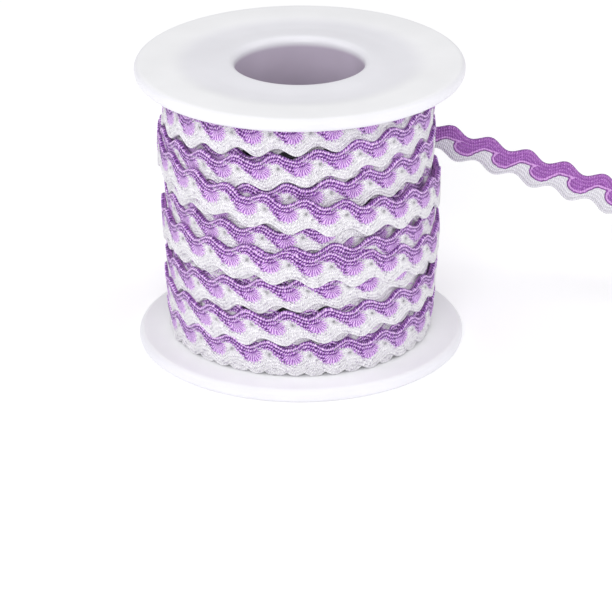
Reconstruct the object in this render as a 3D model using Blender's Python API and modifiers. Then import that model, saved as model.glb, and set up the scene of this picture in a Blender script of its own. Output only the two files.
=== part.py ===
"""A roll of ric rac: a white spool, the wavy trim wound on it in uneven turns, and its loose end."""

import math
from collections import namedtuple

import bmesh
import bpy
from mathutils import Vector

# The frame: metres, +Z up along the spool, the origin in the middle of the face it stands on.
# Angles round the drum are in degrees: 0 at the front (-Y), 90 at the right (+X).

MM = 0.001
SHARP_DEG = 35  # edges under this angle are shaded smooth

# Spool
SPOOL_HEIGHT = 0.060
DISC_RADIUS = 0.033
DISC_THICKNESS = 0.0028
RIM_ROUNDING = 0.0012
BORE_RADIUS = 0.013
CORE_RADIUS = 0.015
MOUTH_ROUNDING = 0.0013  # the lip that turns down into the bore
DISH_OUTER = 0.0265  # the shallow trough in each outer face runs between these radii
DISH_INNER = 0.0148
DISH_DEPTH = 0.0009
ARC_STEPS = 3
DISH_STEPS = 6
SPOOL_STEPS = 48

# Trim
WAVES_ROUND = 21  # waves in one turn round the drum
DRUM_RADIUS = 0.0276  # the middle of the outer layer
WAVE_LENGTH = 2 * math.pi * DRUM_RADIUS / WAVES_ROUND
BAND_WIDTH = 0.0062  # across the braid, from one edge to the other
WAVE_HEIGHT = 0.00085  # how far each edge swings from its mean line
EDGE_LAG = 0.18  # the lower edge's crests come this share of a wave after the upper edge's
TRIM_THICKNESS = 0.0011
SAMPLES = 4  # columns in one wave

# Winding
GAP = 0.0003  # between pieces that touch
UNDER_RADIUS = 0.0263  # the filled drum below the outer turns
UNDER_END_GAP = 0.00055
UNDER_STEPS = 64
ROOT_RADIUS = 0.0252  # how deep the outer turns reach into it
WIND_LOW = DISC_THICKNESS + GAP
WIND_HIGH = SPOOL_HEIGHT - DISC_THICKNESS - GAP

# Heights, in mm, of a turn's middle line at the front, right, back and left of the drum, its radius
# in mm, where its first crest lies in degrees, and how many waves it has.
Turn = namedtuple("Turn", "name front right back left radius crest waves", defaults=(WAVES_ROUND,))
TURNS = (
    Turn("first", 6.8, 7.2, 6.9, 6.7, 27.0, 2.8),
    Turn("second", 13.5, 14.7, 13.4, 11.9, 27.4, 11.7),
    Turn("third", 20.3, 21.3, 19.7, 17.2, 27.1, 0.0),
    Turn("fourth", 26.6, 22.9, 25.6, 27.2, 28.0, 11.4),
    Turn("fifth", 31.8, 28.3, 31.9, 31.7, 27.2, 0.3),
    Turn("crossed", 40.8, 43.2, 39.6, 37.4, 27.1, 12.2),
    Turn("eighth", 47.3, 50.0, 46.6, 43.8, 27.2, 8.6),
    Turn("ninth", 53.8, 54.4, 53.2, 51.0, 26.9, 5.5),
)

# The outermost turn is a helix. It runs from the loose end, behind the drum, round the left and the
# front, and sinks between its neighbours behind the right side. It was wound with less pull, so its
# waves lie closer.
OUTER_TURN = Turn("outermost", 37.8, 36.7, 34.9, 39.8, 28.6, 1.2, 22.04)
OUTER_DROP = 10.0  # mm lost in one turn
OUTER_START = -188.2
OUTER_END = 165.0
OUTER_SINKS_FROM = 105.0
OUTER_SUNK_RADIUS = 26.6

# Loose end: the points of its middle line in mm, and how far its upper edge leans towards the back,
# in degrees. It leaves the drum straight, droops to the surface and lies down there.
RoutePoint = namedtuple("RoutePoint", "x y z lean")
ROUTE = (
    RoutePoint(4.3, 27.75, 39.95, 0.0),
    RoutePoint(8.3, 27.25, 39.85, -2.0),
    RoutePoint(12.5, 26.7, 39.1, -5.0),
    RoutePoint(17.5, 26.1, 37.3, -7.0),
    RoutePoint(24.0, 25.3, 34.75, -8.0),
    RoutePoint(31.0, 24.4, 32.5, -8.0),
    RoutePoint(38.0, 23.5, 30.4, -5.0),
    RoutePoint(45.0, 22.6, 28.2, -2.0),
    RoutePoint(52.0, 21.7, 26.0, 2.0),
    RoutePoint(59.0, 20.9, 23.8, 6.0),
    RoutePoint(66.0, 20.0, 21.4, 10.0),
    RoutePoint(72.5, 19.2, 18.6, 18.0),
    RoutePoint(78.5, 18.5, 15.2, 29.0),
    RoutePoint(84.0, 17.9, 11.4, 43.0),
    RoutePoint(89.5, 17.2, 7.6, 60.0),
    RoutePoint(95.5, 16.4, 4.4, 76.0),
    RoutePoint(102.5, 15.3, 2.1, 87.0),
    RoutePoint(110.0, 13.9, 0.95, 90.0),
    RoutePoint(118.0, 12.2, 0.7, 90.0),
)
ROUTE_STEPS = 7  # columns between two of its points


def cleared_scene():
    """The scene's collection, once everything in it is gone."""
    for obj in list(bpy.data.objects):
        bpy.data.objects.remove(obj, do_unlink=True)
    collection = bpy.data.collections.new("roll_of_ric_rac")
    bpy.context.scene.collection.children.link(collection)
    return collection


def material(name, colour, roughness):
    made = bpy.data.materials.new(name)
    made.use_nodes = True
    shader = made.node_tree.nodes["Principled BSDF"]
    shader.inputs["Base Color"].default_value = (*colour, 1.0)
    shader.inputs["Roughness"].default_value = roughness
    shader.inputs["Metallic"].default_value = 0.0
    return made


def placed(name, mesh, collection, finish):
    obj = bpy.data.objects.new(name, mesh)
    collection.objects.link(obj)
    mesh.materials.append(finish)
    return obj


def smoothed(obj):
    obj.data.shade_smooth()
    obj.data.set_sharp_from_angle(angle=math.radians(SHARP_DEG))


def arc(centre, radius, start_deg, end_deg):
    """Points of an arc in the profile's plane, both ends included."""
    turns = [start_deg + (end_deg - start_deg) * i / ARC_STEPS for i in range(ARC_STEPS + 1)]
    return [
        (centre[0] + radius * math.cos(math.radians(t)), centre[1] + radius * math.sin(math.radians(t)))
        for t in turns
    ]


def dish():
    """The trough of the upper face from its inner to its outer radius, a smooth valley."""
    points = []
    for i in range(DISH_STEPS + 1):
        share = i / DISH_STEPS
        drop = DISH_DEPTH * 0.5 * (1 - math.cos(2 * math.pi * share))
        points.append((DISH_INNER + (DISH_OUTER - DISH_INNER) * share, SPOOL_HEIGHT - drop))
    return points


def upper_profile():
    """The spool's upper half, from the bore's middle up, over the face and down to the core's middle."""
    top = SPOOL_HEIGHT
    mouth = arc((BORE_RADIUS + MOUTH_ROUNDING, top - MOUTH_ROUNDING), MOUTH_ROUNDING, 180, 90)
    rim_r = DISC_RADIUS - RIM_ROUNDING
    rim_upper = arc((rim_r, top - RIM_ROUNDING), RIM_ROUNDING, 90, 0)
    rim_lower = arc((rim_r, top - DISC_THICKNESS + RIM_ROUNDING), RIM_ROUNDING, 0, -90)
    return mouth + dish() + rim_upper + rim_lower + [(CORE_RADIUS, top - DISC_THICKNESS)]


def turned(name, profile, steps, collection, finish):
    """A closed profile of (radius, height) points turned once round the Z axis."""
    shape = bmesh.new()
    corners = [shape.verts.new((r, 0.0, z)) for r, z in profile]
    for here, after in zip(corners, corners[1:] + corners[:1]):
        shape.edges.new((here, after))
    mesh = bpy.data.meshes.new(name)
    shape.to_mesh(mesh)
    shape.free()
    obj = placed(name, mesh, collection, finish)
    screw = obj.modifiers.new("turn", "SCREW")
    screw.steps = steps
    screw.render_steps = steps
    screw.use_merge_vertices = True
    screw.merge_threshold = 0.00001
    return obj


def make_spool(collection, finish):
    half = upper_profile()
    mirrored = [(r, SPOOL_HEIGHT - z) for r, z in reversed(half)]
    return turned("spool", half + mirrored, SPOOL_STEPS, collection, finish)


def height_at(turn, angle, drop=0.0):
    """A turn's middle line at this angle, in metres, from its heights at the drum's four sides."""
    mean = (turn.front + turn.right + turn.back + turn.left) / 4
    to_front = (turn.front - turn.back) / 2
    to_right = (turn.right - turn.left) / 2
    twice = (turn.front + turn.back - turn.right - turn.left) / 4
    a = math.radians(angle)
    height = mean + to_front * math.cos(a) + to_right * math.sin(a) + twice * math.cos(2 * a)
    return (height - drop * angle / 360) * MM


def edges_at(middle, waves):
    """The heights of the trim's lower and upper edge, this many waves after a crest."""
    lower = middle - BAND_WIDTH / 2 + WAVE_HEIGHT * math.cos(2 * math.pi * (waves - EDGE_LAG))
    upper = middle + BAND_WIDTH / 2 + WAVE_HEIGHT * math.cos(2 * math.pi * waves)
    return lower, upper


def section_on_drum(turn, angle, radius, drop=0.0):
    """The four corners of a turn's section at this angle, kept between the discs."""
    waves = (angle - turn.crest) * turn.waves / 360
    lower, upper = edges_at(height_at(turn, angle, drop), waves)
    lower = max(lower, WIND_LOW)
    upper = min(upper, WIND_HIGH)
    a = math.radians(angle)
    across = Vector((math.sin(a), -math.cos(a), 0.0))
    pairs = ((ROOT_RADIUS, lower), (radius, lower), (radius, upper), (ROOT_RADIUS, upper))
    return [across * r + Vector((0.0, 0.0, z)) for r, z in pairs]


def lofted(name, sections, is_ring, collection, finish):
    """A solid through sections of the same number of corners, closed on itself or capped."""
    shape = bmesh.new()
    rows = [[shape.verts.new(corner) for corner in section] for section in sections]
    pairs = list(zip(rows, rows[1:]))
    if is_ring:
        pairs.append((rows[-1], rows[0]))
    for row, after in pairs:
        for i in range(len(row)):
            j = (i + 1) % len(row)
            shape.faces.new((row[i], row[j], after[j], after[i]))
    if not is_ring:
        shape.faces.new(reversed(rows[0]))
        shape.faces.new(rows[-1])
    bmesh.ops.recalc_face_normals(shape, faces=shape.faces[:])
    mesh = bpy.data.meshes.new(name)
    shape.to_mesh(mesh)
    shape.free()
    return placed(name, mesh, collection, finish)


def make_turn(turn, collection, finish):
    count = turn.waves * SAMPLES
    angles = [turn.crest + 360 * i / count for i in range(count)]
    sections = [section_on_drum(turn, a, turn.radius * MM) for a in angles]
    return lofted(f"turn_{turn.name}", sections, True, collection, finish)


def make_outer_turn(collection, finish):
    turn = OUTER_TURN
    step = 360 / (turn.waves * SAMPLES)
    count = math.ceil((OUTER_END - OUTER_START) / step)
    sections = []
    for i in range(count + 1):
        angle = OUTER_START + (OUTER_END - OUTER_START) * i / count
        sunk = min(max((angle - OUTER_SINKS_FROM) / (OUTER_END - OUTER_SINKS_FROM), 0.0), 1.0)
        radius = turn.radius + (OUTER_SUNK_RADIUS - turn.radius) * sunk
        sections.append(section_on_drum(turn, angle, radius * MM, OUTER_DROP))
    return lofted(f"turn_{turn.name}", sections, False, collection, finish)


def make_winding(collection, helpers, finish):
    """The wound form in one solid: the filled drum, joined with each outer turn."""
    inner = CORE_RADIUS + GAP
    low = DISC_THICKNESS + UNDER_END_GAP
    high = SPOOL_HEIGHT - low
    profile = [(UNDER_RADIUS, high), (UNDER_RADIUS, low), (inner, low), (inner, high)]
    drum = turned("wound_ric_rac", profile, UNDER_STEPS, collection, finish)
    turns = [make_turn(turn, helpers, finish) for turn in TURNS]
    turns.append(make_outer_turn(helpers, finish))
    for turn in turns:
        turn.hide_render = True
        turn.display_type = "WIRE"
        join = drum.modifiers.new(turn.name, "BOOLEAN")
        join.operation = "UNION"
        join.solver = "MANIFOLD"  # the exact solver drops the drum at the second turn
        join.object = turn
    return drum


def smooth_route():
    """Points and leans along the loose end, read from a Catmull-Rom curve through ROUTE."""
    rows = [Vector((p.x * MM, p.y * MM, p.z * MM, p.lean)) for p in ROUTE]
    rows = [2 * rows[0] - rows[1], *rows, 2 * rows[-1] - rows[-2]]
    read = []
    for a, b, c, d in zip(rows, rows[1:], rows[2:], rows[3:]):
        for i in range(ROUTE_STEPS):
            t = i / ROUTE_STEPS
            square = (2 * a - 5 * b + 4 * c - d) * t**2
            cube = (3 * b - a - 3 * c + d) * t**3
            read.append((2 * b + (c - a) * t + square + cube) / 2)
    read.append(rows[-2])
    return [(Vector(row[:3]), row[3]) for row in read]


def make_loose_end(collection, finish):
    route = smooth_route()
    half = TRIM_THICKNESS / 2
    run = 0.0
    joined_at = math.degrees(math.atan2(ROUTE[0].x, -ROUTE[0].y)) - 360
    waves_at_start = (joined_at - OUTER_TURN.crest) * OUTER_TURN.waves / 360
    sections = []
    for i, (point, lean) in enumerate(route):
        before = route[max(i - 1, 0)][0]
        after = route[min(i + 1, len(route) - 1)][0]
        run += (point - before).length
        along = (after - before).normalized()
        upright = (Vector((0, 0, 1)) - along * along.z).normalized()
        back = upright.cross(along)
        lean = math.radians(lean)
        across = upright * math.cos(lean) + back * math.sin(lean)
        outward = along.cross(across)
        lower, upper = edges_at(0.0, waves_at_start - run / WAVE_LENGTH)
        corners = ((lower, -half), (lower, half), (upper, half), (upper, -half))
        sections.append([point + across * w + outward * t for w, t in corners])
    return lofted("loose_end", sections, False, collection, finish)


def main():
    collection = cleared_scene()
    helpers = bpy.data.collections.new("turns")
    bpy.context.scene.collection.children.link(helpers)
    white_plastic = material("white_plastic", (0.86, 0.86, 0.88), 0.35)
    lilac_braid = material("lilac_braid", (0.46, 0.22, 0.60), 0.7)
    make_spool(collection, white_plastic)
    make_winding(collection, helpers, lilac_braid)
    make_loose_end(collection, lilac_braid)
    for obj in collection.objects:
        smoothed(obj)


main()
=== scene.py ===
# %% [markdown]
# # A roll of ric rac
# A white moulded spool stands on its lower disc. Round it goes ric rac: a narrow braid, half lilac and half
# white, whose edges wave because some of its threads were pulled tight first to one side and then to the other.
# This lesson builds the spool as a turned shape, the braid as one kind of strip that is laid along many paths,
# and the two-tone weave as a few small shader groups.

# %% Load the frame
import math

import bpy
import numpy as np
from mathutils import Matrix, Vector


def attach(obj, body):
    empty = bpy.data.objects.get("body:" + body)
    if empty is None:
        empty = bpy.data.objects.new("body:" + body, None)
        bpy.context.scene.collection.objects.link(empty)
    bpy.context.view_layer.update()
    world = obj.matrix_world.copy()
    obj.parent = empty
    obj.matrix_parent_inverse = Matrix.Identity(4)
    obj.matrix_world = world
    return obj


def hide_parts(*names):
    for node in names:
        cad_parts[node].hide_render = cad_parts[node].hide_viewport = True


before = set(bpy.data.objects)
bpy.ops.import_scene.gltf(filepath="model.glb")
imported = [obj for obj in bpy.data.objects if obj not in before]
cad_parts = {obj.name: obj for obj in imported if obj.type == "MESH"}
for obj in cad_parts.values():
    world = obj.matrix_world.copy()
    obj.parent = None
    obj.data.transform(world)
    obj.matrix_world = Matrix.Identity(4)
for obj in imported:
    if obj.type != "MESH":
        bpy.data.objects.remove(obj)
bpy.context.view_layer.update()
MM = 0.001

# %% [markdown]
# ## Camera
# The roll was photographed from a little above with a long lens, so both discs look almost equally wide. A long
# lens far away gives the same calm perspective; its place was worked out from the outlines of the two discs.

# %% Camera
CAMERA_AT = Vector((0.0, -0.7192, 0.3284))
CAMERA_LENS = 226.8
LOOK_DOWN = math.radians(24.12)
LOOK_RIGHT = math.radians(0.08)
CAMERA_ROLL = math.radians(-0.3)


def make_camera():
    ahead = Vector((math.sin(LOOK_RIGHT), math.cos(LOOK_RIGHT), -math.tan(LOOK_DOWN))).normalized()
    turned = ahead.to_track_quat("-Z", "Y").to_matrix() @ Matrix.Rotation(CAMERA_ROLL, 3, "Z")
    data = bpy.data.cameras.new("photo_camera")
    data.lens = CAMERA_LENS
    data.sensor_width = 36.0
    camera = bpy.data.objects.new("photo_camera", data)
    camera.matrix_world = Matrix.Translation(CAMERA_AT) @ turned.to_4x4()
    bpy.context.scene.collection.objects.link(camera)
    bpy.context.scene.camera = camera
    return camera


print("camera:", make_camera().name, "lens", CAMERA_LENS, "mm")

# %% [markdown]
# ## The trim's own shape
# All the braid on the roll is one trim, so its sizes are given once. Lengths along it are counted in waves and
# lengths across it in shares of a wave, with zero on its middle line. The two edges are cosines of the same
# height; the lower one lags a little, which makes the waves lean.

# %% The trim's sizes
WAVES_ROUND = 21
DRUM_RADIUS = 27.6 * MM
WAVE = 2 * math.pi * DRUM_RADIUS / WAVES_ROUND
HALF_BAND = 3.1 * MM / WAVE
SWING = 0.85 * MM / WAVE
EDGE_LAG = 0.18
THICKNESS = 1.1 * MM
EDGE_ROUNDING = 0.42 * MM


def upper_edge(u):
    return HALF_BAND + SWING * np.cos(2 * np.pi * u)


def lower_edge(u):
    return -HALF_BAND + SWING * np.cos(2 * np.pi * (u - EDGE_LAG))


print("one wave:", round(WAVE / MM, 2), "mm, band:", round(2 * HALF_BAND * WAVE / MM, 1), "mm")

# %% [markdown]
# ## Where the colours meet
# On the outer face, round lilac lobes hang down and white tongues curl up beside them, like small breaking waves.
# The lilac is the union of two shapes: a band whose lower side is flat, falls and is flat again, and a disc for
# the lobe. Both are written as distances, which are above zero inside, so that a smooth maximum joins them with
# rounded corners.

# %% The colour border
LOBE = (-0.36, 0.06)  # the lobe's middle, from a crest of the upper edge
LOBE_RADIUS = 0.212
TONGUE_TOP = 0.23
LOWEST = -0.165
FALL_FROM = 0.40  # waves after the lobe's middle where the border starts to fall
FALL_SLOPE = 1.0
ROUNDING = 0.08
LILAC_FOCUS = (-0.38, 0.17)  # where the floats of a lobe start
WHITE_FOCUS = (0.05, 0.10)
ROW = 0.088  # a row of stitches, in waves
ROW_START = 0.44


def smooth(x):
    x = np.clip(x, 0, 1)
    return x * x * (3 - 2 * x)


def smooth_max(a, b, distance):
    near = np.clip(1 - np.abs(a - b) / distance, 0, 1)
    return np.maximum(a, b) + near**3 * distance / 6


def lilac_side(u, w):
    """Above zero on the lilac side of the border, below zero on the white side."""
    t = np.mod(u - LOBE[0], 1)
    lobe = LOBE_RADIUS - np.hypot(np.minimum(t, 1 - t), w - LOBE[1])
    falling = (w - TONGUE_TOP + FALL_SLOPE * (t - FALL_FROM)) / math.hypot(1, FALL_SLOPE)
    falling = -smooth_max(-falling, LOWEST - w, ROUNDING)
    return smooth_max(lobe, smooth_max(w - TONGUE_TOP, falling, ROUNDING), ROUNDING)


def bell(x, width):
    return np.exp(-((x / width) ** 2))


def from_focus(u, w, focus):
    along = np.mod(u - focus[0] + 0.5, 1) - 0.5
    return np.hypot(along, w - focus[1])


def relief(u, w):
    """How far the outer face stands above a flat braid, in metres: rows, cords, domes, groove and eyelets."""
    upper = upper_edge(u) - w
    lower = w - lower_edge(u)
    side = lilac_side(u, w)
    is_lilac = smooth(side / 0.06 + 0.5)
    lilac_rows = np.cos(2 * np.pi * (upper / ROW - ROW_START))
    white_rows = np.cos(2 * np.pi * (lower / ROW - ROW_START))
    height = 0.048 * (white_rows + (lilac_rows - white_rows) * is_lilac)
    height += 0.07 * bell(upper - 0.03, 0.03) + 0.07 * bell(lower - 0.03, 0.03)
    height -= 0.1 * bell(side, 0.03)
    height += 0.12 * bell(from_focus(u, w, LOBE), 0.13)
    white = from_focus(u, w, WHITE_FOCUS)
    height += 0.12 * bell(white, 0.15) - 0.22 * bell(white, 0.035)
    return height * MM


print("border runs from", LOWEST, "to", TONGUE_TOP, "waves off the middle line")

# %% [markdown]
# ## A strip of braid
# One function makes every strip. It lays a fine grid over the trim's outer face and a coarse one over its inner
# face, which share their edges, and asks a `place` function where each point goes. So the same braid can go
# round the drum, along the loose end, or anywhere else. The strip keeps its own measure, waves along and across,
# in a UV map, and the weave is drawn from that.

# %% Strip builder
COLUMNS = 36  # in one wave
EDGE_STEPS = (0.0, 0.04, 0.13, 0.27, 0.42, 0.62)  # mm in from an edge, where the surface bends most
MIDDLE_ROWS = 22
INNER_ROWS = 3
BRAID_MAP = "braid"
SERIAL_STEP = 40  # waves between the UV maps of two strips, so that no two have the same flaws


def rows_across(u, steps, middle_rows):
    """Rows of heights across the strip, from the lower to the upper edge, close together near the edges."""
    low, high = lower_edge(u), upper_edge(u)
    near = np.array(steps) * MM / WAVE
    inside = np.linspace(0, 1, middle_rows + 2)[1:-1]
    rows = [low + step for step in near]
    rows += [low + near[-1] + (high - low - 2 * near[-1]) * share for share in inside]
    rows += [high - step for step in near[::-1]]
    return np.array(rows)


def half_thickness(u, w):
    """Half the strip's thickness, rounded off to nothing at both edges."""
    edge = np.minimum(upper_edge(u) - w, w - lower_edge(u)) * WAVE
    share = np.clip(edge / EDGE_ROUNDING, 0, 1)
    return THICKNESS / 2 * np.sqrt(np.clip(1 - (1 - share) ** 2, 0, 1))


def braid_strip(name, waves_from, waves_to, place, is_ring=False, columns=COLUMNS, rows=MIDDLE_ROWS, serial=0):
    count = round((waves_to - waves_from) * columns)
    u = np.linspace(waves_from, waves_to, count + 1)
    if is_ring:
        u = u[:-1]
    outer = rows_across(u, EDGE_STEPS, rows)
    inner = rows_across(u, (EDGE_STEPS[0], EDGE_STEPS[3]), INNER_ROWS)[::-1][1:-1]
    out = half_thickness(u, outer) + relief(u, outer) * smooth(half_thickness(u, outer) / THICKNESS * 2)
    across = np.vstack([outer, inner])
    proud = np.vstack([out, -half_thickness(u, inner)])
    along = np.broadcast_to(u, across.shape)
    points = place(along, across * WAVE, proud)
    section, length = across.shape
    index = np.arange(section * length).reshape(section, length)
    right = np.roll(index, -1, axis=1) if is_ring else index[:, 1:]
    left = index if is_ring else index[:, :-1]
    faces = np.stack([left, right, np.roll(right, -1, axis=0), np.roll(left, -1, axis=0)], axis=-1)
    reach = np.append(u[1:], waves_to) if is_ring else u[1:]
    start = u if is_ring else u[:-1]
    next_across = np.roll(across, -1, axis=0)
    columns_right = np.roll(across, -1, axis=1) if is_ring else across[:, 1:]
    columns_left = across if is_ring else across[:, :-1]
    next_right = np.roll(next_across, -1, axis=1) if is_ring else next_across[:, 1:]
    next_left = next_across if is_ring else next_across[:, :-1]
    shape = columns_left.shape
    left_u, right_u = np.broadcast_to(start, shape), np.broadcast_to(reach, shape)
    uv = np.stack(
        [left_u, columns_left, right_u, columns_right, right_u, next_right, left_u, next_left], axis=-1
    )
    mesh = bpy.data.meshes.new(name)
    loops = faces.reshape(-1, 4)
    caps = [] if is_ring else [index[::-1, 0].tolist(), index[:, -1].tolist()]
    mesh.from_pydata(points.reshape(-1, 3), [], loops.tolist() + caps)
    layer = mesh.uv_layers.new(name=BRAID_MAP)
    flat = uv.reshape(-1, 2)
    if caps:
        ends = [(waves_from, w) for w in across[::-1, 0]] + [(waves_to, w) for w in across[:, -1]]
        flat = np.vstack([flat, ends])
    flat = flat + (serial * SERIAL_STEP, 0)
    layer.data.foreach_set("uv", flat.ravel())
    is_inner = np.zeros(faces.shape[:2], bool)
    is_inner[len(outer) - 1 :] = True
    slots = np.concatenate([is_inner.ravel().astype(np.int32), np.zeros(len(caps), np.int32)])
    mesh.polygons.foreach_set("material_index", slots)
    mesh.shade_smooth()
    for cap in mesh.polygons[len(loops) :]:
        cap.use_smooth = False
    mesh.update()
    piece = bpy.data.objects.new(name, mesh)
    bpy.context.scene.collection.objects.link(piece)
    return piece


print("strip: about", 2 * COLUMNS * (2 * len(EDGE_STEPS) + MIDDLE_ROWS + INNER_ROWS), "triangles a wave")

# %% [markdown]
# ## Shader arithmetic
# The weave is drawn by formulas. Written as bare nodes they would be hard to read, so a `Field` wraps a socket
# and turns sums written in the ordinary way into Math nodes.

# %% Fields
TURN = 2 * math.pi


class Field:
    """A number that changes over the surface: a socket in a node tree."""

    def __init__(self, tree, socket):
        self.tree = tree
        self.socket = socket

    def math(self, operation, *others):
        node = self.tree.nodes.new("ShaderNodeMath")
        node.operation = operation
        for entry, value in zip(node.inputs, (self, *others)):
            connect(self.tree, value, entry)
        return Field(self.tree, node.outputs[0])

    def __add__(self, other):
        return self.math("ADD", other)

    def __sub__(self, other):
        return self.math("SUBTRACT", other)

    def __mul__(self, other):
        return self.math("MULTIPLY", other)

    def __truediv__(self, other):
        return self.math("DIVIDE", other)

    def cosine(self):
        return (self * TURN).math("COSINE")

    def step(self, start, end):
        """0 before start and 1 after end, with a smooth way between."""
        node = self.tree.nodes.new("ShaderNodeMapRange")
        node.interpolation_type = "SMOOTHSTEP"
        connect(self.tree, self, node.inputs["Value"])
        connect(self.tree, start, node.inputs["From Min"])
        connect(self.tree, end, node.inputs["From Max"])
        return Field(self.tree, node.outputs["Result"])

    def blend(self, low, high):
        """low where this is 0, high where it is 1."""
        return low + (high - low) * self if isinstance(low, Field) else self * (high - low) + low


def connect(tree, value, entry):
    if isinstance(value, Field):
        tree.links.new(value.socket, entry)
    else:
        entry.default_value = value


def new_group(name, entries, results):
    """An empty shader group with number sockets, its input fields, and the node that takes its results."""
    tree = bpy.data.node_groups.new(name, "ShaderNodeTree")
    for label, value in entries.items():
        tree.interface.new_socket(label, in_out="INPUT", socket_type="NodeSocketFloat").default_value = value
    for label in results:
        tree.interface.new_socket(label, in_out="OUTPUT", socket_type="NodeSocketFloat")
    start = tree.nodes.new("NodeGroupInput")
    end = tree.nodes.new("NodeGroupOutput")
    return tree, [Field(tree, start.outputs[label]) for label in entries], end


def use_group(tree, group, *values):
    """Places a group in a tree and returns its results as fields."""
    node = tree.nodes.new("ShaderNodeGroup")
    node.node_tree = group
    for entry, value in zip(node.inputs, values):
        connect(tree, value, entry)
    return [Field(tree, result) for result in node.outputs]


def give(tree, end, **results):
    for label, value in results.items():
        connect(tree, value, end.inputs[label])


print("fields ready")

# %% [markdown]
# ## Three groups that draw a braid
# Seen close, the trim is three things: two waving edges, rows of small stitches that run beside each edge, and
# fans of long floating threads that spread from a point in every tongue. Each is a group, so that both faces of
# the trim, and both of its colours, can use the same ones with other numbers.

# %% Group: the waving edges
def edges_group():
    tree, (u, w), end = new_group("wave_edges", {"Along": 0.0, "Across": 0.0}, ("Phase", "Upper", "Lower"))
    phase = u.math("WRAP", 0.5, -0.5)
    lagging = u - EDGE_LAG
    slope = TURN * SWING
    upper_tilt = (u * TURN).math("SINE") * slope
    lower_tilt = (lagging * TURN).math("SINE") * slope
    upper = (u.cosine() * SWING + HALF_BAND - w) / (upper_tilt * upper_tilt + 1.0).math("SQRT")
    lower = (w + HALF_BAND - lagging.cosine() * SWING) / (lower_tilt * lower_tilt + 1.0).math("SQRT")
    give(tree, end, Phase=phase, Upper=upper, Lower=lower)
    return tree


EDGES = edges_group()
print("group:", EDGES.name)


# %% Group: rows of stitches
def rows_group():
    entries = {"Along": 0.0, "Depth": 0.0, "Stitch": 0.06, "Slant": 0.5}
    tree, (u, depth, stitch, slant), end = new_group("stitch_rows", entries, ("Light", "Height"))
    rows = depth / ROW - ROW_START
    ridge = rows.cosine()
    dash = (u / stitch + rows * slant).cosine()
    light = (ridge * 0.6 + dash * 0.62).step(-0.75, 1.15)
    give(tree, end, Light=light, Height=ridge * 0.27 + dash * 0.35 + 0.5)
    return tree


ROWS = rows_group()
print("group:", ROWS.name)


# %% Group: a fan of floats
def fan_group():
    entries = {"Phase": 0.0, "Across": 0.0, "Focus along": 0.0, "Focus across": 0.0, "Floats": 27.0}
    tree, (f, w, focus_u, focus_w, floats), end = new_group("float_fan", entries, ("Wave", "Reach"))
    side = (f - focus_u).math("WRAP", 0.5, -0.5)
    rise = w - focus_w
    reach = (side * side + rise * rise).math("SQRT")
    wave = (rise.math("ARCTAN2", side) * floats).math("COSINE")
    give(tree, end, Wave=wave, Reach=reach)
    return tree


FAN = fan_group()
print("group:", FAN.name)


# %% Group: which side of the border
def two_tone_group():
    entries = {"Phase": 0.0, "Across": 0.0, "Tongue top": TONGUE_TOP, "Fall from": FALL_FROM}
    tree, (phase, w, top, fall_from), end = new_group("two_tone", entries, ("Side", "Lobe"))
    t = (phase - LOBE[0]).math("FRACT")
    along = t.math("MINIMUM", t * -1.0 + 1.0)
    rise = w - LOBE[1]
    lobe = (along * along + rise * rise).math("SQRT") * -1.0 + LOBE_RADIUS
    falling = (w - top + (t - fall_from) * FALL_SLOPE) / math.hypot(1, FALL_SLOPE)
    falling = falling.math("SMOOTH_MIN", w - LOWEST, ROUNDING)
    band = (w - top).math("SMOOTH_MAX", falling, ROUNDING)
    give(tree, end, Side=lobe.math("SMOOTH_MAX", band, ROUNDING), Lobe=lobe)
    return tree


TWO_TONE = two_tone_group()
print("group:", TWO_TONE.name)

# %% [markdown]
# ## Braid, outer face
# Lilac half: a pale cord along the edge, two rows of dark stitches under it, and pale floats in each tongue.
# White half: the same, mirrored to the other edge and much fainter, with a small eyelet where its floats
# meet, darkened by painted shade. The border between them is toothed where the floats of both colours lock.

# %% Outer face material
def new_material(name, roughness):
    made = bpy.data.materials.new(name)
    made.use_nodes = True
    shader = made.node_tree.nodes["Principled BSDF"]
    shader.inputs["Roughness"].default_value = roughness
    return made, made.node_tree, shader


def braid_measure(tree):
    """The strip's own measure: waves along and across."""
    where = tree.nodes.new("ShaderNodeUVMap")
    where.uv_map = BRAID_MAP
    parts = tree.nodes.new("ShaderNodeSeparateXYZ")
    tree.links.new(where.outputs["UV"], parts.inputs[0])
    return where, Field(tree, parts.outputs["X"]), Field(tree, parts.outputs["Y"])


def fibre_noise(tree, where, scale):
    noise = tree.nodes.new("ShaderNodeTexNoise")
    noise.inputs["Scale"].default_value = scale
    noise.inputs["Detail"].default_value = 3.0
    tree.links.new(where.outputs["UV"], noise.inputs["Vector"])
    return Field(tree, noise.outputs["Fac"])


def ramp(tree, value, stops):
    node = tree.nodes.new("ShaderNodeValToRGB")
    connect(tree, value, node.inputs["Fac"])
    elements = node.color_ramp.elements
    while len(elements) < len(stops):
        elements.new(0.5)
    for element, (position, colour) in zip(elements, stops):
        element.position = position
        element.color = (*colour, 1.0)
    return node.outputs["Color"]


def mix_colours(tree, share, low, high):
    node = tree.nodes.new("ShaderNodeMix")
    node.data_type = "RGBA"
    connect(tree, share, node.inputs["Factor"])
    tree.links.new(low, node.inputs[6])
    tree.links.new(high, node.inputs[7])
    return node.outputs[2]


def add_bump(tree, shader, height, strength, distance):
    bump = tree.nodes.new("ShaderNodeBump")
    bump.inputs["Strength"].default_value = strength
    bump.inputs["Distance"].default_value = distance
    connect(tree, height, bump.inputs["Height"])
    tree.links.new(bump.outputs["Normal"], shader.inputs["Normal"])


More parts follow.
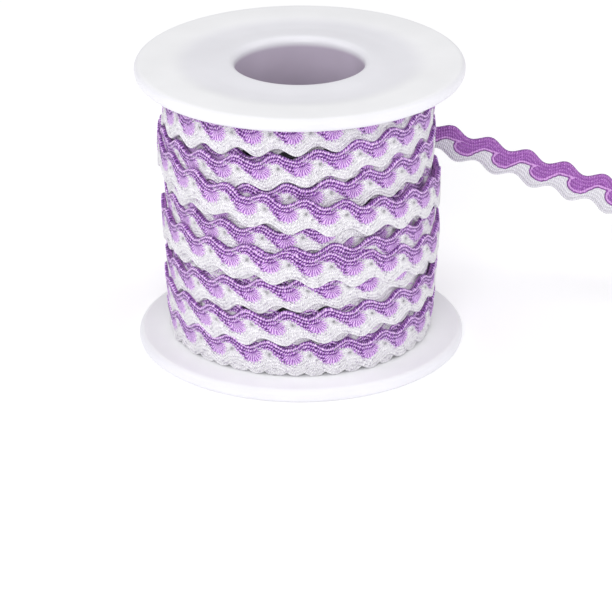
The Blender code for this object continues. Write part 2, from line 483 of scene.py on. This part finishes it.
LILAC_TONES = (
    (0.0, (0.045, 0.003, 0.09)),
    (0.3, (0.22, 0.05, 0.36)),
    (0.6, (0.54, 0.25, 0.73)),
    (1.0, (0.92, 0.66, 1.0)),
)
WHITE_TONES = (
    (0.0, (0.27, 0.22, 0.31)),
    (0.5, (0.76, 0.73, 0.80)),
    (1.0, (0.98, 0.97, 0.99)),
)


def outer_braid():
    made, tree, shader = new_material("braid_outer_face", 0.7)
    shader.inputs["Sheen Weight"].default_value = 0.25
    shader.inputs["Specular IOR Level"].default_value = 0.3
    where, u, w = braid_measure(tree)
    phase, upper, lower = use_group(tree, EDGES, u, w)
    noise = fibre_noise(tree, where, 40.0) - 0.5
    wander = fibre_noise(tree, where, 11.0) - 0.5
    drift = fibre_noise(tree, where, 7.0) - 0.5
    stitch_u = u + wander * 0.12
    lilac_light, lilac_height = use_group(tree, ROWS, stitch_u, upper + drift * 0.1, 0.06, 0.8)
    white_light, white_height = use_group(tree, ROWS, stitch_u, lower + drift * 0.1, 0.057, -0.8)
    loose_phase, loose_w = phase + drift * 0.06, w + wander * 0.06
    lilac_wave, lilac_reach = use_group(tree, FAN, loose_phase, loose_w, *LILAC_FOCUS, 25.0)
    white_wave, white_reach = use_group(tree, FAN, loose_phase, loose_w, *WHITE_FOCUS, 19.0)
    side, lobe = use_group(tree, TWO_TONE, loose_phase, loose_w, TONGUE_TOP, FALL_FROM)
    near_lobe = lobe.step(-0.07, -0.03)
    teeth = lilac_wave * near_lobe * 0.04 + (lilac_height - 0.5) * 0.06 + noise * 0.04
    is_lilac = (side + teeth).step(-0.01, 0.01)
    fan = upper.step(0.16, 0.2) * lobe.step(-0.04, 0.0)
    near_focus = lilac_reach.step(0.13, 0.02)
    floats = lilac_wave * 0.3 + 0.6 - near_focus * 0.25
    cord = upper.step(0.065, 0.045) * upper.step(0.0, 0.03)
    lilac_rows = lilac_light * 0.88 + cord * 0.22 + 0.01
    lilac_tone = lilac_rows + (floats - lilac_rows) * fan + noise * 0.8 + wander * 0.6 + 0.06
    white_fan = white_reach.step(0.18, 0.13)
    # painted shade: the eyelet's hollow is coloured darker, besides its dent in the bump
    eyelet = white_reach.step(0.045, 0.02)
    white_rows = white_light * (lower.step(0.05, 0.35) * 0.32 + 0.32) + 0.45
    white_tone = white_rows + (white_wave * 0.35 + 0.65 - white_rows) * white_fan
    stipple = side.step(-0.11, -0.03) * noise.step(-0.06, 0.1)
    patches = drift.step(0.02, 0.12) * (white_light * -1.0 + 1.0)
    white_tone = white_tone + noise * 0.6 + wander * 0.5 + 0.14
    white_tone = white_tone - eyelet * 0.35 - stipple * 0.3 - patches * 0.3
    lilac = ramp(tree, lilac_tone, LILAC_TONES)
    white = ramp(tree, white_tone, WHITE_TONES)
    tree.links.new(mix_colours(tree, is_lilac, white, lilac), shader.inputs["Base Color"])
    lilac_relief = lilac_height + (lilac_wave * 0.3 + 0.6 - lilac_height) * fan
    white_relief = white_height + (white_wave * 0.3 + 0.6 - white_height) * white_fan - eyelet
    relief_field = white_relief + (lilac_relief - white_relief) * is_lilac + noise * 0.5
    add_bump(tree, shader, relief_field, 0.8, 0.0003)
    return made


OUTER_BRAID = outer_braid()
print("material:", OUTER_BRAID.name)

# %% [markdown]
# ## Braid, inner face
# The loose end shows the trim's other side. There the lilac is deeper and even, a pale raised line follows the
# border with a groove beside it, darkened by painted shade, and the white half is a fine greyish ladder.

# %% Inner face material
DEEP_TONES = ((0.0, (0.10, 0.012, 0.15)), (0.5, (0.36, 0.105, 0.47)), (1.0, (0.78, 0.42, 0.86)))
LADDER_TONES = ((0.0, (0.46, 0.44, 0.49)), (0.6, (0.78, 0.77, 0.82)), (1.0, (0.93, 0.92, 0.96)))
INNER_BORDER_DROP = 0.045  # the border lies this much lower than on the outer face
INNER_TONGUE_TOP = 0.15
INNER_FALL_FROM = 0.46
RIM_FROM, RIM_TO = 0.018, 0.085  # the pale cord, in waves from the border on the lilac side
SPECK = 0.052  # between two specks of the lattice in a lobe


def inner_braid():
    made, tree, shader = new_material("braid_inner_face", 0.7)
    shader.inputs["Sheen Weight"].default_value = 0.25
    shader.inputs["Specular IOR Level"].default_value = 0.3
    where, u, w = braid_measure(tree)
    phase, upper, lower = use_group(tree, EDGES, u, w)
    noise = fibre_noise(tree, where, 40.0) - 0.5
    wander = fibre_noise(tree, where, 11.0) - 0.5
    loose_u, loose_w = u + wander * 0.04, w + wander * 0.04
    light, height = use_group(tree, ROWS, loose_u, upper + wander * 0.04, 0.055, 0.5)
    ladder, ladder_height = use_group(tree, ROWS, loose_u, lower, 0.05, 0.0)
    lowered = loose_w + INNER_BORDER_DROP
    side, _ = use_group(tree, TWO_TONE, phase + wander * 0.04, lowered, INNER_TONGUE_TOP, INNER_FALL_FROM)
    rim = side.step(RIM_FROM, RIM_FROM + 0.02) * side.step(RIM_TO, RIM_TO - 0.02)
    # painted shade: the groove beside the pale cord is coloured darker, on top of its dent in the bump
    groove = side.step(-0.012, 0.0) * side.step(RIM_FROM + 0.008, RIM_FROM - 0.006)
    specks = (loose_u / SPECK).cosine() * (loose_w / SPECK).cosine()
    lattice = specks.step(0.2, 0.8) * side.step(RIM_TO, RIM_TO + 0.03)
    tone = light * 0.3 + rim * 0.5 + lattice * 0.35 - groove * 0.2 + noise * 0.6 + wander * 0.5 + 0.3
    deep = ramp(tree, tone, DEEP_TONES)
    pale = ramp(tree, ladder * 0.5 + 0.42 + noise * 0.4, LADDER_TONES)
    is_lilac = (side + noise * 0.03).step(-0.012, 0.004)
    tree.links.new(mix_colours(tree, is_lilac, pale, deep), shader.inputs["Base Color"])
    relief_field = ladder_height + (height + rim * 0.6 - ladder_height) * is_lilac - groove * 0.5 + noise * 0.4
    add_bump(tree, shader, relief_field, 0.7, 0.0003)
    return made


INNER_BRAID = inner_braid()
print("material:", INNER_BRAID.name)

# %% [markdown]
# ## The turns on the drum
# The trim was wound by hand, so no two turns lie alike. A short table gives each turn's middle height, in mm, at
# the front, right, back and left of the drum; a sum of cosines through the four gives every angle between. The
# strip stands square to its own slope and leans a little where it rides on a neighbour.

# %% Turns of the outer layer
from collections import namedtuple

FIELDS = "name front right back left radius crest lean shear drop climb aside waves"
Turn = namedtuple("Turn", FIELDS, defaults=(0.0, 0.0, 0.0, 0.0, 0.0, WAVES_ROUND))
CLIMB_AT = math.radians(38)  # where one turn climbs under the outermost
CLIMB_WIDTH = math.radians(24)
TURNS = (
    Turn("first", 6.8, 7.2, 6.9, 6.7, 27.0, 2.8, 0.3),
    Turn("second", 13.7, 14.9, 13.6, 12.1, 27.4, 11.7, 0.3, -0.25),
    Turn("third", 20.7, 21.7, 20.1, 17.6, 27.1, 1.2, 0.3, -0.2),
    Turn("fourth", 26.6, 22.9, 25.6, 27.2, 28.0, 11.4, 0.1),
    Turn("slipped", 27.6, 28.2, 27.5, 25.6, 27.4, 14.0, 0.3),
    Turn("fifth", 31.9, 33.2, 31.9, 31.7, 27.1, 0.3, 0.3, climb=3.2),
    Turn("crossed", 40.8, 43.2, 39.6, 37.4, 27.1, 12.2, 0.2),
    Turn("eighth", 47.3, 50.0, 46.6, 43.8, 27.3, 8.6, 0.3, aside=-0.5),
    Turn("ninth", 53.8, 54.4, 53.2, 51.0, 26.5, 5.5, -0.3, aside=-0.8),
)
OUTERMOST = Turn("outermost", 37.8, 36.7, 34.9, 39.8, 28.6, 1.2, drop=10.0, waves=22.04)
WIND_LOW = 3.0 * MM
WIND_HIGH = 57.0 * MM


def turn_height(turn, angle):
    """The middle line's height in mm."""
    mean = (turn.front + turn.right + turn.back + turn.left) / 4
    to_front = (turn.front - turn.back) / 2
    to_right = (turn.right - turn.left) / 2
    twice = (turn.front + turn.back - turn.right - turn.left) / 4
    height = mean + to_front * np.cos(angle) + to_right * np.sin(angle) + twice * np.cos(2 * angle)
    return height + turn.climb * bell(angle - CLIMB_AT, CLIMB_WIDTH) - turn.drop * angle / TURN


SHORT_WAY = 0.01  # radians either side of a point, to read a turn's slope


def hand_wound(turn, angle):
    """Small wanderings of a turn, in mm, which repeat after a full turn."""
    seed = turn.crest + turn.front
    return 0.12 * np.sin(3 * angle + seed) + 0.08 * np.sin(7 * angle + 2.1 * seed)


def on_drum(turn, sink=None):
    """A place function for a turn: (waves along, across, outward) to points."""
    middle = turn.radius * MM - THICKNESS / 2
    shear = turn.shear

    def place(u, across, out):
        angle = np.radians(turn.crest + u * 360 / turn.waves)
        height = turn_height(turn, angle) + hand_wound(turn, angle)
        rise = turn_height(turn, angle + SHORT_WAY) - turn_height(turn, angle - SHORT_WAY)
        tilt = np.arctan2(rise * MM, 2 * SHORT_WAY * middle)
        z = np.clip(height * MM + across * np.cos(tilt), WIND_LOW, WIND_HIGH)
        below_edge = HALF_BAND * WAVE - across
        around = angle - (across * np.sin(tilt) + shear * below_edge) / middle
        lean = turn.lean * MM * across / (HALF_BAND * WAVE)
        radius = middle + out + lean + 0.5 * MM * hand_wound(turn, angle + 1.0)
        if sink is not None:
            radius = radius - sink(angle)
        return np.stack([radius * np.sin(around) + turn.aside * MM, -radius * np.cos(around), z], axis=-1)

    return place


def finished(piece, *cad_nodes):
    """Gives a piece of braid its two faces and ties it to the frame."""
    piece.data.materials.append(OUTER_BRAID)
    piece.data.materials.append(INNER_BRAID)
    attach(piece, "root")
    if cad_nodes:
        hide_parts(*cad_nodes)
    return piece


for i, turn in enumerate(TURNS):
    strip = braid_strip(f"turn_{turn.name}", 0, WAVES_ROUND, on_drum(turn), is_ring=True, serial=i)
    finished(strip, "wound_ric_rac")
print("outer turns:", len(TURNS))

# %% [markdown]
# ## The outermost turn
# The last turn wound lies over its neighbours. It comes in under them behind the right side, climbs across the
# front and round the left, and at the back becomes the loose end.

# %% Outermost turn
OUTER_START = -188.8  # where the loose end's route begins
OUTER_END = 165.0
SINKS_FROM = 55.0
SINKS_BY = 2.0 * MM


def outer_sink(angle):
    share = (np.degrees(angle) - SINKS_FROM) / (OUTER_END - SINKS_FROM)
    return SINKS_BY * smooth(share)


def waves_at(turn, angle):
    return (angle - turn.crest) * turn.waves / 360


outermost = braid_strip(
    "turn_outermost",
    waves_at(OUTERMOST, OUTER_START),
    waves_at(OUTERMOST, OUTER_END),
    on_drum(OUTERMOST, outer_sink),
)
finished(outermost, "wound_ric_rac")
print("outermost turn:", round(waves_at(OUTERMOST, OUTER_END) - waves_at(OUTERMOST, OUTER_START), 1), "waves")

# %% [markdown]
# ## The layer beneath
# Between the outer turns one sees the layer below. It is the same trim, only coarser, because little of it shows.

# %% Turns beneath
UNDER_TURNS = (
    Turn("under_1", 6.5, 6.6, 6.4, 6.3, 26.3, 11.4),
    Turn("under_2", 8.9, 9.4, 8.8, 8.4, 26.0, 8.0),
    Turn("under_3", 13.6, 14.1, 13.2, 13.0, 26.2, 4.0),
    Turn("under_4", 19.9, 19.2, 19.6, 18.8, 26.2, 8.0),
    Turn("under_5", 24.9, 25.3, 25.0, 24.2, 26.1, 2.0),
    Turn("under_6", 30.6, 30.2, 30.3, 31.3, 26.1, 9.0),
    Turn("under_7", 35.9, 36.4, 36.2, 35.5, 26.3, 4.0),
    Turn("under_8", 41.6, 41.2, 41.4, 42.3, 26.2, 11.0),
    Turn("under_9", 46.6, 46.8, 46.2, 47.6, 26.3, 3.0),
    Turn("under_10", 53.0, 53.2, 52.8, 52.5, 25.4, 9.0),
)
COARSE = {"columns": 16, "rows": 7}

for i, turn in enumerate(UNDER_TURNS):
    strip = braid_strip(f"turn_{turn.name}", 0, WAVES_ROUND, on_drum(turn), is_ring=True, serial=20 + i, **COARSE)
    finished(strip, "wound_ric_rac")
print("turns beneath:", len(UNDER_TURNS))

# %% [markdown]
# ## The loose end
# The trim leaves the back of the drum straight, droops to the surface and lies down flat. Its middle line is a
# smooth curve through given points; beside each point stands how far the trim's upper edge leans back.

# %% Loose end
RoutePoint = namedtuple("RoutePoint", "x y z lean")
ROUTE = (
    RoutePoint(4.3, 27.75, 39.95, 0.0),
    RoutePoint(8.3, 27.25, 39.85, -2.0),
    RoutePoint(12.5, 26.7, 39.1, -5.0),
    RoutePoint(17.5, 26.1, 37.3, -7.0),
    RoutePoint(24.0, 25.3, 34.75, -8.0),
    RoutePoint(31.0, 24.4, 32.5, -8.0),
    RoutePoint(38.0, 23.5, 30.4, -5.0),
    RoutePoint(45.0, 22.6, 28.2, -2.0),
    RoutePoint(52.0, 21.7, 26.0, 2.0),
    RoutePoint(59.0, 20.9, 23.8, 6.0),
    RoutePoint(66.0, 20.0, 21.4, 10.0),
    RoutePoint(72.5, 19.2, 18.6, 18.0),
    RoutePoint(78.5, 18.5, 15.2, 29.0),
    RoutePoint(84.0, 17.9, 11.4, 43.0),
    RoutePoint(89.5, 17.2, 7.6, 60.0),
    RoutePoint(95.5, 16.4, 4.4, 76.0),
    RoutePoint(102.5, 15.3, 2.1, 87.0),
    RoutePoint(110.0, 13.9, 0.95, 90.0),
    RoutePoint(118.0, 12.2, 0.7, 90.0),
)
ROUTE_STEPS = 24


def smooth_route():
    """Points and leans along the loose end, read from a Catmull-Rom curve through ROUTE."""
    rows = np.array([(p.x * MM, p.y * MM, p.z * MM, math.radians(p.lean)) for p in ROUTE])
    rows = np.vstack([2 * rows[0] - rows[1], rows, 2 * rows[-1] - rows[-2]])
    t = np.linspace(0, 1, ROUTE_STEPS, endpoint=False)[:, None]
    read = []
    for a, b, c, d in zip(rows, rows[1:], rows[2:], rows[3:]):
        square = (2 * a - 5 * b + 4 * c - d) * t**2
        cube = (3 * b - a - 3 * c + d) * t**3
        read.append((2 * b + (c - a) * t + square + cube) / 2)
    return np.vstack([*read, rows[-2]])


def along_route(route, start_waves):
    """A place function for the loose end, and its length."""
    points = route[:, :3]
    steps = np.linalg.norm(np.diff(points, axis=0), axis=1)
    run = np.concatenate([[0.0], np.cumsum(steps)])
    ahead = np.gradient(points, run, axis=0)
    ahead /= np.linalg.norm(ahead, axis=1)[:, None]
    upright = np.array([0.0, 0.0, 1.0]) - ahead * ahead[:, 2:]
    upright /= np.linalg.norm(upright, axis=1)[:, None]
    back = np.cross(upright, ahead)
    lean = route[:, 3][:, None]
    over = upright * np.cos(lean) + back * np.sin(lean)
    outward = np.cross(ahead, over) * -1.0

    def place(u, across, out):
        s = (start_waves - u) * WAVE
        read = [np.stack([np.interp(s, run, axis[:, k]) for k in range(3)], axis=-1) for axis in (points, over, outward)]
        return read[0] + read[1] * across[..., None] + read[2] * out[..., None]

    return place, float(run[-1])


def make_loose_end():
    route = smooth_route()
    start = waves_at(OUTERMOST, OUTER_START)
    place, length = along_route(route, start)
    strip = braid_strip("loose_end_strip", start - length / WAVE, start, place)
    finished(strip, "loose_end")
    return length


print("loose end:", round(make_loose_end() / MM), "mm long")

# %% [markdown]
# ## The spool
# A spool is a turned shape: one profile, spun round the bore by a Screw modifier. The profile runs up the bore,
# rolls over the lip, dips into the shallow dish, rounds the rim and comes back along the disc's inside.

# %% Spool shape
SPOOL_HEIGHT = 60.0
DISC_RADIUS = 33.0
DISC_THICKNESS = 2.8
RIM_ROUNDING = 1.2
BORE_RADIUS = 13.0
CORE_RADIUS = 15.0
MOUTH_ROUNDING = 1.3
DISH_OUTER = 26.5
DISH_INNER = 14.6
DISH_SLOPE = 5.0
DISH_DEPTH = 0.3
DISH_RADII = np.linspace(DISH_INNER, DISH_OUTER, 36)
SPOOL_STEPS = 160


def arc(centre, radius, start, end, steps=10):
    turns = np.radians(np.linspace(start, end, steps + 1))
    return [(centre[0] + radius * math.cos(t), centre[1] + radius * math.sin(t)) for t in turns]


def spool_profile():
    top = SPOOL_HEIGHT
    rim = DISC_RADIUS - RIM_ROUNDING
    half = arc((BORE_RADIUS + MOUTH_ROUNDING, top - MOUTH_ROUNDING), MOUTH_ROUNDING, 180, 90)
    for r in DISH_RADII:
        walls = smooth((DISH_OUTER - r) / DISH_SLOPE) * smooth((r - DISH_INNER) / DISH_SLOPE)
        half.append((r, top - DISH_DEPTH * float(walls)))
    half += arc((rim, top - RIM_ROUNDING), RIM_ROUNDING, 90, 0)
    half += arc((rim, top - DISC_THICKNESS + RIM_ROUNDING), RIM_ROUNDING, 0, -90)
    half += [(CORE_RADIUS, top - DISC_THICKNESS)]
    return half + [(r, top - z) for r, z in reversed(half)]


def make_spool():
    profile = [(r * MM, 0.0, z * MM) for r, z in spool_profile()]
    count = len(profile)
    mesh = bpy.data.meshes.new("spool_moulding")
    mesh.from_pydata(profile, [(i, (i + 1) % count) for i in range(count)], [])
    spool = bpy.data.objects.new("spool_moulding", mesh)
    bpy.context.scene.collection.objects.link(spool)
    screw = spool.modifiers.new("turn", "SCREW")
    screw.steps = SPOOL_STEPS
    screw.render_steps = SPOOL_STEPS
    screw.use_merge_vertices = True
    screw.merge_threshold = 0.00001
    screw.use_smooth_shade = True
    return spool


spool = make_spool()
print("spool profile:", len(spool.data.vertices), "points")

# %% [markdown]
# ## White plastic
# Moulded plastic is smooth but never perfect: it has a faint cloudiness, a slightly uneven gloss and very fine
# scuffs. Its colour also holds painted shade: a little darker on the dish and the disc's very edge, and much
# darker and slightly lilac in the bore.

# %% White plastic
RIM_TONES = ((0.3, (0.83, 0.83, 0.85)), (0.7, (0.87, 0.87, 0.89)))
# painted shade: the dish and the disc's very edge are coloured a little darker and lilac-grey
DISH_AND_EDGE_SHADE_TONES = ((0.3, (0.745, 0.74, 0.785)), (0.7, (0.785, 0.78, 0.825)))
# painted shade: the bore's wall is coloured much darker and slightly lilac
BORE_PAINTED_SHADE_TONES = ((0.3, (0.45, 0.395, 0.485)), (0.7, (0.49, 0.43, 0.53)))


def spool_measure(tree, where):
    """How far a point lies from the spool's axis and from its middle height, in mm."""
    parts = tree.nodes.new("ShaderNodeSeparateXYZ")
    tree.links.new(where.outputs["Object"], parts.inputs[0])
    x, y, z = (Field(tree, parts.outputs[axis]) / MM for axis in "XYZ")
    return (x * x + y * y).math("SQRT"), (z - SPOOL_HEIGHT / 2).math("ABSOLUTE")


def white_plastic():
    made, tree, shader = new_material("white_moulded_plastic", 0.38)
    shader.inputs["Specular IOR Level"].default_value = 0.45
    where = tree.nodes.new("ShaderNodeTexCoord")
    cloud = tree.nodes.new("ShaderNodeTexNoise")
    cloud.inputs["Scale"].default_value = 90.0
    tree.links.new(where.outputs["Object"], cloud.inputs["Vector"])
    cloudy = Field(tree, cloud.outputs["Fac"])
    off_axis, off_middle = spool_measure(tree, where)
    below_lip = off_middle.step(SPOOL_HEIGHT / 2 - 1.1, SPOOL_HEIGHT / 2 - 2.3)
    # painted shade in the bore, below the rounded lip
    in_bore = off_axis.step(BORE_RADIUS + 0.5, BORE_RADIUS) * below_lip
    # painted shade on the dish and on the disc's rounded edge
    in_dish = off_axis.step(DISH_OUTER, DISH_OUTER - DISH_SLOPE)
    at_edge = off_axis.step(DISC_RADIUS - 1.0, DISC_RADIUS - 0.1)
    dish_and_edge_shade = in_dish + at_edge
    colour = mix_colours(tree, dish_and_edge_shade, ramp(tree, cloudy, RIM_TONES), ramp(tree, cloudy, DISH_AND_EDGE_SHADE_TONES))
    colour = mix_colours(tree, in_bore, colour, ramp(tree, cloudy, BORE_PAINTED_SHADE_TONES))
    tree.links.new(colour, shader.inputs["Base Color"])
    connect(tree, cloudy * 0.12 + 0.32, shader.inputs["Roughness"])
    add_bump(tree, shader, cloudy, 0.08, 0.0003)
    return made


spool.data.materials.append(white_plastic())
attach(spool, "root")
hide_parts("spool")
print("spool finished")

# %% [markdown]
# ## Floor and light
# A white sweep of floor and big soft lights, as in a small product studio: one above and in front, one from
# each side, so that the dark comes only from the gaps between the turns.

# %% Floor and lights
def make_floor():
    mesh = bpy.data.meshes.new("floor")
    size = 3.0
    mesh.from_pydata([(-size, -size, 0), (size, -size, 0), (size, size, 0), (-size, size, 0)], [], [(0, 1, 2, 3)])
    floor = bpy.data.objects.new("floor", mesh)
    bpy.context.scene.collection.objects.link(floor)
    made, _, shader = new_material("pale_floor", 0.9)
    shader.inputs["Base Color"].default_value = (0.93, 0.93, 0.94, 1.0)
    shader.inputs["Specular IOR Level"].default_value = 0.1
    shader.inputs["Emission Color"].default_value = (1.0, 1.0, 1.0, 1.0)
    shader.inputs["Emission Strength"].default_value = 0.16
    mesh.materials.append(made)


def make_light(name, place, size, power):
    data = bpy.data.lights.new(name, "AREA")
    data.size = size
    data.energy = power
    light = bpy.data.objects.new(name, data)
    light.location = place
    light.rotation_mode = "QUATERNION"
    light.rotation_quaternion = (Vector((0, 0, 0.03)) - light.location).to_track_quat("-Z", "Y")
    bpy.context.scene.collection.objects.link(light)


def make_world():
    world = bpy.data.worlds.new("studio")
    world.use_nodes = True
    background = world.node_tree.nodes["Background"]
    background.inputs["Color"].default_value = (1.0, 1.0, 1.0, 1.0)
    background.inputs["Strength"].default_value = 0.6
    bpy.context.scene.world = world


make_floor()
make_world()
make_light("front", (-0.1, -0.95, 0.5), 0.5, 4.5)
make_light("left", (-0.8, -0.1, 0.5), 0.5, 2.1)
make_light("right", (0.8, -0.1, 0.5), 0.5, 1.9)
make_light("above", (0.0, -0.2, 0.95), 0.5, 0.6)
bpy.context.scene.view_settings.view_transform = "Standard"
